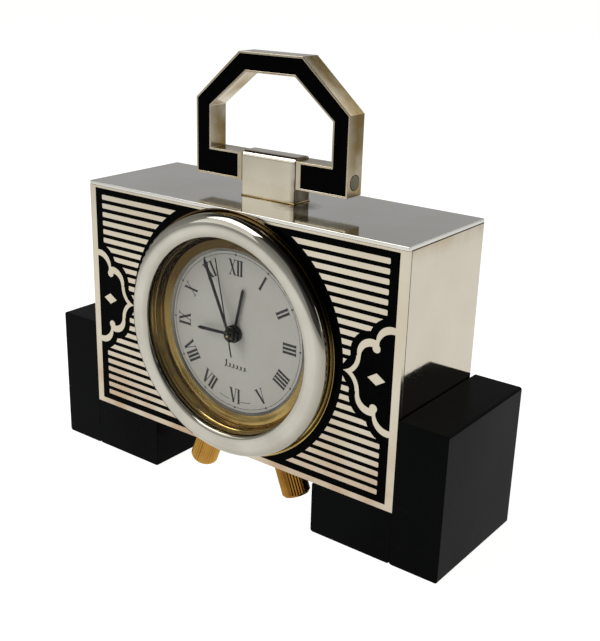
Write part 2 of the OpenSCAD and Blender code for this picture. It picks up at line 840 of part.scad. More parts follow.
module alarm_setting_wheel() {
    color(brass) in_insert() at(alarm_set_at) {
        gear(alarm_setting_teeth, alarm_module, alarm_set_phase, alarm_level, alarm_level + wheel_t, stud_r + run_gap);
        ring(face_out, face_in, face_root, alarm_level + tiny);
        face_teeth(alarm_setting_teeth, face_phase);
        ring(1.2, stud_r + run_gap, alarm_level - 1, alarm_level + tiny);
    }
}

module time_setting_wheel() {
    color(brass) in_insert() at(time_set_at) {
        gear(setting_teeth, motion_module, setting_phase, minute_level, minute_level + wheel_t, stud_r + run_gap);
        face_teeth(setting_teeth, setting_phase);
    }
}

module fifth_wheel() {
    color(brass) in_insert() at(fifth_at) {
        gear(fifth_teeth, rotor_module, 0, fifth_level, fifth_level + wheel_t, stud_r + run_gap);
        ring(1.0, stud_r + run_gap, seconds_level, fifth_level + tiny);
    }
}

module rotor() {
    color(steel) in_insert() at(rotor_at) {
        gear(rotor_teeth, rotor_module, rotor_phase, stator_h + 1.2, fifth_level + wheel_t, stud_r / 2 + run_gap);
        ring(1.6, stud_r / 2 + run_gap, stator_h - 0.6, stator_h + 1.2);
    }
}

module stator_and_coil() {
    color([0.7, 0.4, 0.2]) in_insert() {
        translate([0, 0, stator_h]) linear_extrude(stator_t) difference() {
            union() {
                translate([-2, rotor_at.y - 2.6]) square([rotor_at.x + 4.6, 4.4]);
                translate([-4, 14.4]) square([3, coil_up - 13.3]);
                translate([rotor_at.x - 1, rotor_at.y]) square([3, coil_up + 1.1 - rotor_at.y]);
                translate([-4, coil_up - 1.1]) square([rotor_at.x + 6, 2.2]);
            }
            at(rotor_at) circle(2.1);
        }
        translate([0, coil_up - 1.8, stator_h - 0.7]) rotate([90, 0, 90]) linear_extrude(11.5) rounded_box(3.6, 2.2, 0.8);
    }
}

module circuit_board() {
    color([0.1, 0.35, 0.2]) in_insert() {
        translate([-18, -20, rear_plate_lo - 0.8]) cube([36, 14, 0.8]);
        translate([-6, -13, 0]) rod(3, rear_plate_lo - 1.6, rear_plate_lo - 0.7);
        translate([3, -16, rear_plate_lo - 2.2]) cube([8, 2.4, 1.5]);
    }
}

module battery() {
    color("dimgray") in_insert() translate([0, battery_up, battery_h]) rotate([0, 90, 0]) {
        rod(battery_r, -battery_len / 2, battery_len / 2 - 1);
        rod(2.7, battery_len / 2 - 1 - tiny, battery_len / 2);
    }
}

module battery_cradle() {
    color(plastic) in_insert() {
        difference() {
            translate([-battery_len / 2, battery_up - 5.8, battery_h + 2.4]) cube([battery_len, 11.6, rear_plate_lo - battery_h - 2.4]);
            translate([0, battery_up, battery_h]) rotate([0, 90, 0]) cylinder(r = battery_r + 0.05, h = 50, center = true);
        }
        for (s = [-1, 1]) translate([s * (battery_len / 2 + 0.2) - 0.2, battery_up - 3, battery_h - 3])
            cube([0.4, 6, rear_plate_lo - battery_h + 3]);
    }
}

module sounder() {
    color(brass) in_insert() translate([0, -10, 0]) {
        rod(10, drum_end, drum_end + 0.4);
        rod(7, drum_end + 0.39, drum_end + 0.8);
    }
}

// Crowns -----------------------------------------------------------------

module stem_bushes() {
    color(brass) for (dir = [alarm_dir, time_dir]) along_stem(dir) ring(bush_r, collar_r + run_gap, bush_in, bush_out);
}

module collar(dir) { color(steel) along_stem(dir) ring(collar_r, stem_r + run_gap, collar_in, collar_out); }
module time_collar() { collar(time_dir); }
module alarm_collar() { collar(alarm_dir); }

function knurl_points() =
    [for (i = [0:2 * knurls - 1]) polar(i * 180 / knurls, crown_r - (i % 2) * knurl_depth)];

module crown(dir, pinion_in, pinion_out, phase) {
    color(brass) along_stem(dir) {
        rotate([0, 0, phase]) gear(stem_pinion_teeth, alarm_module, 0, pinion_in, pinion_out, tiny * 10);
        rod(stem_r, pinion_in, crown_in + stem_bite);
        rod(shoulder_r, collar_in - run_gap - shoulder_t, collar_in - run_gap);
        rod(shoulder_r, collar_out + run_gap, collar_out + run_gap + shoulder_t);
        translate([0, 0, crown_in]) linear_extrude(crown_len - 0.5) polygon(knurl_points());
        rod(crown_r - 2 * knurl_depth, crown_reach - 0.5 - tiny, crown_reach);
    }
}
module time_crown() { crown(time_dir, time_pinion_in, time_pinion_out, 0); }
module alarm_crown() { crown(alarm_dir, alarm_pinion_in, alarm_pinion_out, 0); }

front_plate();
enamel_left();
enamel_right();
top_plate();
side_plate_left();
side_plate_right();
bottom_plate();
back_cover();
corner_posts();
back_screws();
foot_block_left();
foot_block_right();
foot_upright_left();
foot_upright_right();
foot_screws();
hinge_block();
hinge_pin();
handle_frame();
handle_enamel_front();
handle_enamel_back();
bezel_ring();
bezel_flange();
retaining_ring();
crystal();
crystal_gasket();
outer_rehaut();
inner_rehaut();
dial_rim();
dial();
drum();
rear_cap();
movement_front_plate();
movement_rear_plate();
movement_pillars();
movement_screws();
wheel_studs();
alarm_hand();
alarm_wheel();
hour_hand();
hour_wheel();
minute_hand();
centre_wheel();
seconds_hand();
seconds_wheel();
third_wheel();
minute_wheel();
alarm_setting_wheel();
time_setting_wheel();
fifth_wheel();
rotor();
stator_and_coil();
circuit_board();
battery();
battery_cradle();
sounder();
stem_bushes();
time_collar();
time_crown();
alarm_collar();
alarm_crown();
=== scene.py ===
import json
import math

import bpy
from mathutils import Matrix, Vector


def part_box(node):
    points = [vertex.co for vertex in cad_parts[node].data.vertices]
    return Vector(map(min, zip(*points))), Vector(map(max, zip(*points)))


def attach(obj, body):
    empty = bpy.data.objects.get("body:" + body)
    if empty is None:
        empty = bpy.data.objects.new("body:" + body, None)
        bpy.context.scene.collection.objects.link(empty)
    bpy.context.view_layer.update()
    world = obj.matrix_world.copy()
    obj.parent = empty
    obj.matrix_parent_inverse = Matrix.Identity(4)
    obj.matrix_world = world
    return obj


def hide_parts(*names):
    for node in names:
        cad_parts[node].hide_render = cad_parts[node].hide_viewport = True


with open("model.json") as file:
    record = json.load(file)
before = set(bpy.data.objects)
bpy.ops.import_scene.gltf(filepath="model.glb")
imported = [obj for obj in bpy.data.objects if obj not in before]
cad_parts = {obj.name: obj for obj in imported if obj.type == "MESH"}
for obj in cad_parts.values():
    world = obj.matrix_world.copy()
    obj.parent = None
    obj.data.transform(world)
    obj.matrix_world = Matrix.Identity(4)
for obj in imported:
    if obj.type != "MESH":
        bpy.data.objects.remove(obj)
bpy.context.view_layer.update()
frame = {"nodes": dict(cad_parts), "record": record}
mm = 0.001

# ---------------------------------------------------------------- Floor, light and camera
# A white studio table that glows in a pool round the clock, in a pale room that grows dark
# overhead and behind the camera. Soft boxes give the polished silver something to reflect.
floor_radius, floor_drop, floor_rough = 14, 0.0002, 0.9
floor_white, floor_albedo = (0.95, 0.95, 0.94, 1), (0.42, 0.42, 0.42, 1)
pool_middle, pool_near, pool_far = (0.03, 0, 0), 0.22, 0.6
pool_glow, far_glow, seen_glow = 0.95, 0.42, 1.0
wall_tones = ((0.0, 0.56), (0.16, 0.44), (0.56, 0.37), (0.66, 0.08), (1.0, 0.02))
wall_lean = 0.45
booth_toward, booth_edge, booth_core, booth_tone = (0.60, -0.76, 0.25), 0.85, 0.90, 0.22
seen_white = (1, 1, 1, 1)


def graded(tree, value, low, high, out_low, out_high):
    """Carries low..high of a value on to out_low..out_high."""
    span = tree.nodes.new("ShaderNodeMapRange")
    span.inputs["From Min"].default_value = low
    span.inputs["From Max"].default_value = high
    span.inputs["To Min"].default_value = out_low
    span.inputs["To Max"].default_value = out_high
    tree.links.new(value, span.inputs["Value"])
    return span.outputs["Result"]


def blended(tree, share, first, second):
    """A colour between two, by share."""
    mix = tree.nodes.new("ShaderNodeMix")
    mix.data_type = "RGBA"
    tree.links.new(share, mix.inputs["Factor"])
    for socket, colour in ((mix.inputs[6], first), (mix.inputs[7], second)):
        if isinstance(colour, tuple):
            socket.default_value = colour
        else:
            tree.links.new(colour, socket)
    return mix.outputs[2]


bpy.ops.object.select_all(action="DESELECT")
bpy.ops.mesh.primitive_circle_add(vertices=64, radius=floor_radius, fill_type="NGON",
                                  location=(0, 0, -floor_drop))
floor = bpy.context.object
floor.name = "studio_floor"
table = bpy.data.materials.new("studio_table")
table.use_nodes = True
table_shader = table.node_tree.nodes["Principled BSDF"]
table_shader.inputs["Base Color"].default_value = floor_albedo
table_shader.inputs["Roughness"].default_value = floor_rough
table_shader.inputs["Specular IOR Level"].default_value = 0.0
table_shader.inputs["Emission Color"].default_value = floor_white
glow = table.node_tree
table_place = glow.nodes.new("ShaderNodeTexCoord")
from_pool = glow.nodes.new("ShaderNodeVectorMath")
from_pool.operation = "DISTANCE"
from_pool.inputs[1].default_value = pool_middle
glow.links.new(table_place.outputs["Object"], from_pool.inputs[0])
fall = graded(glow, from_pool.outputs["Value"], pool_near, pool_far, pool_glow, far_glow)
fall.node.interpolation_type = "SMOOTHSTEP"
seen = glow.nodes.new("ShaderNodeMix")
eye = glow.nodes.new("ShaderNodeLightPath")
glow.links.new(eye.outputs["Is Camera Ray"], seen.inputs["Factor"])
glow.links.new(fall, seen.inputs["A"])
seen.inputs["B"].default_value = seen_glow
glow.links.new(seen.outputs["Result"], table_shader.inputs["Emission Strength"])
floor.data.materials.append(table)

world = bpy.data.worlds.new("studio_room")
world.use_nodes = True
bpy.context.scene.world = world
walls = world.node_tree
room = walls.nodes["Background"]
toward = walls.nodes.new("ShaderNodeTexCoord")
heights = walls.nodes.new("ShaderNodeSeparateXYZ")
walls.links.new(toward.outputs["Generated"], heights.inputs["Vector"])
shade = walls.nodes.new("ShaderNodeValToRGB")
rightward = walls.nodes.new("ShaderNodeMath")
rightward.operation = "MULTIPLY_ADD"
rightward.use_clamp = True
rightward.inputs[1].default_value = wall_lean
walls.links.new(heights.outputs["X"], rightward.inputs[0])
walls.links.new(heights.outputs["Z"], rightward.inputs[2])
higher = walls.nodes.new("ShaderNodeMath")
higher.operation = "MAXIMUM"
walls.links.new(rightward.outputs["Value"], higher.inputs[0])
walls.links.new(heights.outputs["Z"], higher.inputs[1])
walls.links.new(higher.outputs["Value"], shade.inputs["Fac"])
while len(shade.color_ramp.elements) < len(wall_tones):
    shade.color_ramp.elements.new(0.5)
for stop, (height, tone) in zip(shade.color_ramp.elements, wall_tones):
    stop.position = height
    stop.color = (tone, tone, tone, 1)
facing = walls.nodes.new("ShaderNodeVectorMath")
facing.operation = "DOT_PRODUCT"
facing.inputs[1].default_value = booth_toward
walls.links.new(toward.outputs["Generated"], facing.inputs[0])
booth = graded(walls, facing.outputs["Value"], booth_edge, booth_core, 1, booth_tone)
dimmed = walls.nodes.new("ShaderNodeVectorMath")
dimmed.operation = "SCALE"
walls.links.new(shade.outputs["Color"], dimmed.inputs[0])
walls.links.new(booth, dimmed.inputs["Scale"])
sight = walls.nodes.new("ShaderNodeLightPath")
backdrop = blended(walls, sight.outputs["Is Camera Ray"], dimmed.outputs["Vector"], seen_white)
walls.links.new(backdrop, room.inputs["Color"])


clock_middle = Vector((0, 0, 0.05))


def soft_box(name, place, width, height, power):
    """A rectangular studio light, its size in metres and its power in watts, that faces the clock."""
    bpy.ops.object.light_add(type="AREA", location=place)
    lamp = bpy.context.object
    lamp.name = name
    lamp.data.shape = "RECTANGLE"
    lamp.data.size = width
    lamp.data.size_y = height
    lamp.data.energy = power
    lamp.rotation_mode = "QUATERNION"
    lamp.rotation_quaternion = (clock_middle - Vector(place)).to_track_quat("-Z", "Y")


soft_box("key_box", (-0.40, -0.47, 0.70), width=0.55, height=0.45, power=4.2)
soft_box("window_box", (-0.47, -0.60, 0.33), width=0.40, height=0.36, power=0.45)
soft_box("rim_box", (0.21, 0.44, 0.42), width=0.34, height=0.26, power=0.35)
soft_box("right_box", (0.85, 0.10, 0.30), width=0.3, height=0.3, power=0.5)

camera_azimuth = math.radians(38.17)
camera_height = math.radians(20.26)
camera_roll = math.radians(1.04)
camera_distance = 0.2698
camera_lens, camera_sensor = 57.4, 36
camera_right, camera_up = 0.051, 0.0122
aim_behind_front, aim_above_foot = 15 * mm, 30 * mm
case_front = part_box("front_plate")[0].y
case_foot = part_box("front_plate")[0].z
camera_aim = Vector((0, case_front + aim_behind_front, case_foot + aim_above_foot))
look_back = Vector((math.sin(camera_azimuth) * math.cos(camera_height),
                    -math.cos(camera_azimuth) * math.cos(camera_height),
                    math.sin(camera_height)))
bpy.ops.object.camera_add(location=camera_aim + look_back * camera_distance)
camera = bpy.context.object
camera.name = "studio_camera"
camera.rotation_mode = "QUATERNION"
camera.rotation_quaternion = (look_back.to_track_quat("Z", "Y")
                              @ Matrix.Rotation(camera_roll, 4, "Z").to_quaternion())
camera.data.lens = camera_lens
camera.data.sensor_width = camera_sensor
camera.data.shift_x = camera_right
camera.data.shift_y = camera_up
camera.data.clip_start = 0.01
bpy.context.scene.camera = camera
bpy.context.scene.view_settings.view_transform = "Standard"

# ---------------------------------------------------------------- Case plates
# Six plates of silver-plated brass, cut from sheet, soldered into an oblong box and
# polished. The edges are broken by hand, and old polish has browned along the seams.


def paint(name):
    """A new material with its tree, its shader and its object coordinates."""
    material = bpy.data.materials.new(name)
    material.use_nodes = True
    tree = material.node_tree
    place = tree.nodes.new("ShaderNodeTexCoord")
    return material, tree, tree.nodes["Principled BSDF"], place.outputs["Object"]


def noise(tree, coords, scale, stretch=(1, 1, 1), detail=4):
    """Noise over the piece, finer along an axis whose stretch is larger."""
    turn = tree.nodes.new("ShaderNodeMapping")
    turn.inputs["Scale"].default_value = stretch
    tree.links.new(coords, turn.inputs["Vector"])
    grain = tree.nodes.new("ShaderNodeTexNoise")
    grain.inputs["Scale"].default_value = scale
    grain.inputs["Detail"].default_value = detail
    tree.links.new(turn.outputs["Vector"], grain.inputs["Vector"])
    return grain.outputs["Fac"]


def product(tree, first, second):
    """Two values multiplied together."""
    times = tree.nodes.new("ShaderNodeMath")
    times.operation = "MULTIPLY"
    tree.links.new(first, times.inputs[0])
    tree.links.new(second, times.inputs[1])
    return times.outputs["Value"]


def ripple(tree, shader, height, depth, strength):
    """Presses a height pattern, depth metres deep, into a shader."""
    bump = tree.nodes.new("ShaderNodeBump")
    bump.inputs["Distance"].default_value = depth
    bump.inputs["Strength"].default_value = strength
    tree.links.new(height, bump.inputs["Height"])
    tree.links.new(bump.outputs["Normal"], shader.inputs["Normal"])


def polished(name, clean, worn, gloss, dull, scuff=(1, 1, 8), stain=None):
    """Polished metal: a cloudy tone, clean to worn, and fine wiping marks, gloss to dull. A
    stain, as (colour, axis, start, full), browns it from start to full along X, Y or Z."""
    material, tree, shader, place = paint(name)
    shader.inputs["Metallic"].default_value = 1.0
    cloud = graded(tree, noise(tree, place, scale=55, detail=3), 0.35, 0.75, 0, 1)
    tone = blended(tree, cloud, clean, worn)
    if stain:
        colour, axis, start, full = stain
        parts = tree.nodes.new("ShaderNodeSeparateXYZ")
        tree.links.new(place, parts.inputs["Vector"])
        near = graded(tree, parts.outputs[axis], start, full, 0, 1)
        patchy = graded(tree, noise(tree, place, scale=110, detail=5), 0.30, 0.62, 0, 1)
        tone = blended(tree, product(tree, near, patchy), tone, colour)
    tree.links.new(tone, shader.inputs["Base Color"])
    wiping = noise(tree, place, scale=420, stretch=scuff, detail=6)
    tree.links.new(graded(tree, wiping, 0.3, 0.7, gloss, dull), shader.inputs["Roughness"])
    ripple(tree, shader, wiping, depth=0.02 * mm, strength=0.05)
    return material


def clothed(nodes, material):
    """Gives CAD pieces a material."""
    for node in nodes:
        mesh = frame["nodes"][node].data
        mesh.materials.clear()
        mesh.materials.append(material)


def stands_for(piece, node):
    """Lets a piece ride on its CAD node's body and take the node's place."""
    for body, nodes in frame["record"]["behaviour"]["bodies"].items():
        if node in nodes:
            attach(piece, body)
    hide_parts(node)


weld_gap, nearly_flat = 0.002 * mm, math.radians(1)


def softened(node, name, width, material, segments=2, angle=32):
    """A copy of a CAD piece, with its seams welded and its sharp edges rounded."""
    piece = bpy.data.objects.new(name, frame["nodes"][node].data.copy())
    bpy.context.collection.objects.link(piece)
    bpy.ops.object.select_all(action="DESELECT")
    bpy.context.view_layer.objects.active = piece
    piece.select_set(True)
    bpy.ops.object.mode_set(mode="EDIT")
    bpy.ops.mesh.select_all(action="SELECT")
    bpy.ops.mesh.remove_doubles(threshold=weld_gap)
    bpy.ops.mesh.dissolve_limited(angle_limit=nearly_flat)
    bpy.ops.object.mode_set(mode="OBJECT")
    rounding = piece.modifiers.new("rounding", "BEVEL")
    rounding.width = width
    rounding.segments = segments
    rounding.limit_method = "ANGLE"
    rounding.angle_limit = math.radians(angle)
    bpy.ops.object.modifier_apply(modifier="rounding")
    bpy.ops.object.shade_smooth_by_angle(angle=math.radians(angle))
    flattening = piece.modifiers.new("flat_faces", "WEIGHTED_NORMAL")
    flattening.keep_sharp = True
    bpy.ops.object.modifier_apply(modifier="flat_faces")
    piece.data.materials.clear()
    piece.data.materials.append(material)
    stands_for(piece, node)


front_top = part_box("front_plate")[1].z
silver_front = polished("silver_front", clean=(0.56, 0.51, 0.41, 1), worn=(0.50, 0.44, 0.335, 1),
                        gloss=0.10, dull=0.20,
                        stain=((0.42, 0.27, 0.17, 1), "Z", case_foot + 22 * mm, case_foot - 6 * mm))
silver_top = polished("silver_top", clean=(0.62, 0.61, 0.58, 1), worn=(0.56, 0.54, 0.48, 1),
                      gloss=0.05, dull=0.11, scuff=(8, 1, 1))
silver_side = polished("silver_side", clean=(0.545, 0.50, 0.415, 1), worn=(0.50, 0.455, 0.365, 1),
                       gloss=0.04, dull=0.09,
                       stain=((0.34, 0.24, 0.13, 1), "Z", front_top - 4 * mm, front_top + 3 * mm))

# A brown deposit on the top plate, beside the right front corner of the hinge block.
deposit_brown = (0.07, 0.042, 0.012, 1)
deposit_reach, deposit_core, deposit_right = 6.5 * mm, 2 * mm, 1 * mm
top_tree = silver_top.node_tree
top_shader = top_tree.nodes["Principled BSDF"]
top_place = top_tree.nodes.new("ShaderNodeTexCoord").outputs["Object"]
from_corner = top_tree.nodes.new("ShaderNodeVectorMath")
from_corner.operation = "DISTANCE"
block_near, block_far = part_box("hinge_block")
from_corner.inputs[1].default_value = (block_far.x + deposit_right, block_near.y, block_near.z)
top_tree.links.new(top_place, from_corner.inputs[0])
closeness = graded(top_tree, from_corner.outputs["Value"], deposit_reach, deposit_core, 0, 1)
speckle = graded(top_tree, noise(top_tree, top_place, scale=420, detail=6), 0.30, 0.52, 0, 1)
clean_top = top_shader.inputs["Base Color"].links[0].from_socket
top_tree.links.new(blended(top_tree, product(top_tree, closeness, speckle), clean_top, deposit_brown),
                   top_shader.inputs["Base Color"])

clothed(["front_plate"], silver_front)
softened("top_plate", "top_plate_silver", width=0.15 * mm, material=silver_top)
for side in ("side_plate_left", "side_plate_right"):
    softened(side, side + "_silver", width=0.3 * mm, material=silver_side, segments=3)
softened("bottom_plate", "bottom_plate_silver", width=0.1 * mm, material=silver_side)
softened("back_cover", "back_cover_silver", width=0.15 * mm, material=silver_side)

# ---------------------------------------------------------------- Seams of the case
# Dark strips stand for old polish dried black in the fine grooves where the soldered plates meet,
# and for the painted shadow in those grooves: down both sides behind the front plate and along
# the ends of the top plate.
seam_wide = 0.36 * mm
seam_proud = 0.015 * mm
front_low, front_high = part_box("front_plate")
case_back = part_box("back_cover")[1].y
side_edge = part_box("side_plate_right")[1].x - seam_wide / 2 + seam_proud
behind_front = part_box("side_plate_right")[0].y
# The seam colour is near-black: dried polish and painted shadow together.
grime_and_shadow, tree, shader, place = paint("seam_grime")
dried = graded(tree, noise(tree, place, scale=900, detail=5), 0.35, 0.65, 0, 1)
tree.links.new(blended(tree, dried, (0.012, 0.010, 0.007, 1), (0.07, 0.05, 0.028, 1)),
               shader.inputs["Base Color"])
tree.links.new(graded(tree, dried, 0, 1, 0.5, 0.8), shader.inputs["Roughness"])


def seam(name, low, high):
    """A run of dried polish along a groove, with the groove's shadow painted in, from corner to corner, with
    eased edges.
    """
    bpy.ops.object.select_all(action="DESELECT")
    bpy.ops.mesh.primitive_cube_add(size=1, location=(low + high) / 2)
    piece = bpy.context.object
    piece.name = name
    bpy.ops.object.mode_set(mode="EDIT")
    bpy.ops.mesh.select_all(action="SELECT")
    bpy.ops.transform.resize(value=high - low)
    bpy.ops.mesh.bevel(offset=seam_wide / 4, segments=2)
    bpy.ops.object.mode_set(mode="OBJECT")
    bpy.ops.object.transform_apply(location=True, rotation=True, scale=True)
    bpy.ops.object.shade_smooth_by_angle(angle=math.radians(50))
    piece.data.materials.append(grime_and_shadow)
    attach(piece, "case")


for side, toward_side in (("left", -1), ("right", 1)):
    middle = Vector((toward_side * side_edge, behind_front + seam_wide / 4, (front_low.z + front_high.z) / 2))
    reach = Vector((seam_wide / 2, seam_wide / 2, (front_high.z - front_low.z) / 2))
    seam("seam_front_" + side, middle - reach, middle + reach)
    middle = Vector((toward_side * side_edge, (behind_front + case_back) / 2, front_high.z - seam_wide / 4))
    reach = Vector((seam_wide / 2, (case_back - behind_front) / 2, seam_wide / 2))
    seam("seam_top_" + side, middle - reach, middle + reach)

# ---------------------------------------------------------------- Posts and back screws
# Four brass posts stand in the corners of the case, tapped for the steel screws that hold
# the back cover.
steel = polished("bright_steel", clean=(0.50, 0.50, 0.51, 1), worn=(0.36, 0.36, 0.37, 1),
                 gloss=0.16, dull=0.30, scuff=(1, 6, 6))
turned_brass = polished("turned_brass", clean=(0.58, 0.42, 0.17, 1), worn=(0.46, 0.31, 0.11, 1),
                        gloss=0.18, dull=0.32, scuff=(1, 6, 1))
clothed(["corner_posts"], turned_brass)
softened("back_screws", "back_screws_steel", width=0.08 * mm, material=steel)

# ---------------------------------------------------------------- Enamel
# Black vitreous enamel, melted into the sunk fields of the front and the handle and
# stoned nearly flush, so that it has a faint orange-peel under a deep gloss.
enamel, tree, shader, place = paint("black_enamel")
depth = graded(tree, noise(tree, place, scale=700, detail=2), 0.3, 0.8, 0, 1)
tree.links.new(blended(tree, depth, (0.0003, 0.0003, 0.0004, 1), (0.0012, 0.0012, 0.0016, 1)),
               shader.inputs["Base Color"])
tree.links.new(graded(tree, noise(tree, place, scale=160), 0.3, 0.7, 0.10, 0.20), shader.inputs["Roughness"])
shader.inputs["Specular IOR Level"].default_value = 0.012
ripple(tree, shader, noise(tree, place, scale=900, detail=2), depth=0.01 * mm, strength=0.08)
clothed(["enamel_left", "enamel_right", "handle_enamel_front", "handle_enamel_back"], enamel)

# ---------------------------------------------------------------- Feet
# Four sawn pieces of black onyx, two to a foot, screwed to the case from inside. The
# edges are eased and the faces honed to a satin, with faint cloudy green-grey figure.
onyx, tree, shader, place = paint("black_onyx")
figure = noise(tree, place, scale=38, stretch=(1, 1, 0.5), detail=8)
specks = graded(tree, noise(tree, place, scale=620, detail=3), 0.66, 0.78, 0, 1)
ground = blended(tree, graded(tree, figure, 0.35, 0.7, 0, 1),
                 (0.0004, 0.0005, 0.0005, 1), (0.0016, 0.0022, 0.0019, 1))
tree.links.new(blended(tree, specks, ground, (0.005, 0.007, 0.006, 1)), shader.inputs["Base Color"])
tree.links.new(graded(tree, figure, 0.3, 0.75, 0.36, 0.26), shader.inputs["Roughness"])
shader.inputs["Specular IOR Level"].default_value = 0.022
ripple(tree, shader, noise(tree, place, scale=1500, detail=4), depth=0.01 * mm, strength=0.15)
for side in ("left", "right"):
    softened("foot_block_" + side, "onyx_block_" + side, width=0.4 * mm, material=onyx, segments=3)
    softened("foot_upright_" + side, "onyx_upright_" + side, width=0.6 * mm, material=onyx, segments=4)
clothed(["foot_screws"], steel)

# ---------------------------------------------------------------- Hinge and handle
# The hinge block is soldered to the top plate. The bail is cast in one piece with sunk
# faces for enamel, and swings on a pin that runs through both of its lower bars.
block_low, block_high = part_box("hinge_block")
bail_low, bail_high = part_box("handle_frame")
hinge_silver = polished("silver_hinge", clean=(0.58, 0.54, 0.45, 1), worn=(0.45, 0.41, 0.31, 1),
                        gloss=0.07, dull=0.14, scuff=(6, 1, 1),
                        stain=((0.12, 0.075, 0.03, 1), "X", block_high.x - 1.6 * mm, block_high.x + 0.2 * mm))
bail_silver = polished("silver_bail", clean=(0.56, 0.51, 0.41, 1), worn=(0.40, 0.33, 0.21, 1),
                       gloss=0.10, dull=0.20, scuff=(1, 4, 1),
                       stain=((0.24, 0.165, 0.055, 1), "Y", bail_low.y - 1 * mm, bail_high.y - 3 * mm))
pin_silver = polished("silver_pin", clean=(0.19, 0.17, 0.125, 1), worn=(0.06, 0.05, 0.03, 1),
                      gloss=0.16, dull=0.30, scuff=(3, 3, 3))
softened("hinge_block", "hinge_block_silver", width=0.25 * mm, material=hinge_silver)
softened("handle_frame", "handle_frame_silver", width=0.14 * mm, material=bail_silver)
softened("hinge_pin", "hinge_pin_silver", width=0.22 * mm, material=pin_silver, segments=3)

# ---------------------------------------------------------------- Solder round the hinge block
# A thin run of gold-coloured silver solder, drawn into the joint by heat and left as a
# fillet round the foot of the block.
solder_lap = 0.22 * mm
solder_height = 0.38 * mm
solder_round = 0.2 * mm
bpy.ops.mesh.primitive_cube_add(size=1, location=((block_low.x + block_high.x) / 2,
                                                 (block_low.y + block_high.y) / 2,
                                                 block_low.z + solder_height / 2))
solder = bpy.context.object
solder.name = "hinge_solder"
bpy.ops.object.mode_set(mode="EDIT")
bpy.ops.mesh.select_all(action="SELECT")
bpy.ops.transform.resize(value=(block_high.x - block_low.x + 2 * solder_lap,
                                block_high.y - block_low.y + 2 * solder_lap, solder_height))
bpy.ops.object.mode_set(mode="OBJECT")
bpy.ops.object.transform_apply(location=True, rotation=True, scale=True)
run = solder.modifiers.new("run", "BEVEL")
run.width = solder_round
run.segments = 3
bpy.ops.object.modifier_apply(modifier="run")
bpy.ops.object.shade_smooth_by_angle(angle=math.radians(50))
gold_solder = polished("gold_solder", clean=(0.36, 0.27, 0.13, 1), worn=(0.08, 0.05, 0.02, 1),
                       gloss=0.25, dull=0.5, scuff=(3, 3, 3))
solder.data.materials.append(gold_solder)
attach(solder, "case")

# ---------------------------------------------------------------- Bezel
# A ring of heavy silver-plated brass, turned and polished to a full round, over a thin
# gilt flange that seats on the front plate.
dial_low, dial_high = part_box("dial")
dial_height = (dial_low.z + dial_high.z) / 2
turned_sides, turned_angle = 160, math.radians(35)


def turned(name, profile, material, node, closed=True):
    """A piece turned about the dial's axis, from its profile as (radius, height in front of the
    case) in mm. An open profile is closed by a flat face at each end."""
    radius, height = profile[0]
    bpy.ops.object.select_all(action="DESELECT")
    bpy.ops.mesh.primitive_circle_add(vertices=turned_sides, radius=radius * mm, fill_type="NOTHING",
                                      location=(0, case_front - height * mm, dial_height),
                                      rotation=(math.pi / 2, 0, 0))
    piece = bpy.context.object
    piece.name = name
    bpy.ops.object.transform_apply(location=True, rotation=True, scale=True)
    bpy.ops.object.mode_set(mode="EDIT")
    bpy.ops.mesh.select_all(action="SELECT")
    if not closed:
        bpy.ops.mesh.edge_face_add()
    for next_radius, next_height in profile[1:] + profile[:1] * closed:
        bpy.ops.mesh.extrude_region_move(
            TRANSFORM_OT_translate={"value": (0, (height - next_height) * mm, 0)})
        bpy.ops.transform.resize(value=(next_radius / radius, 1, next_radius / radius),
                                 center_override=(0, case_front - next_height * mm, dial_height))
        radius, height = next_radius, next_height
    bpy.ops.mesh.select_all(action="SELECT")
    bpy.ops.mesh.remove_doubles(threshold=0.001 * mm)
    bpy.ops.mesh.normals_make_consistent(inside=False)
    bpy.ops.object.mode_set(mode="OBJECT")
    bpy.ops.object.shade_smooth_by_angle(angle=turned_angle)
    piece.data.materials.append(material)
    stands_for(piece, node)


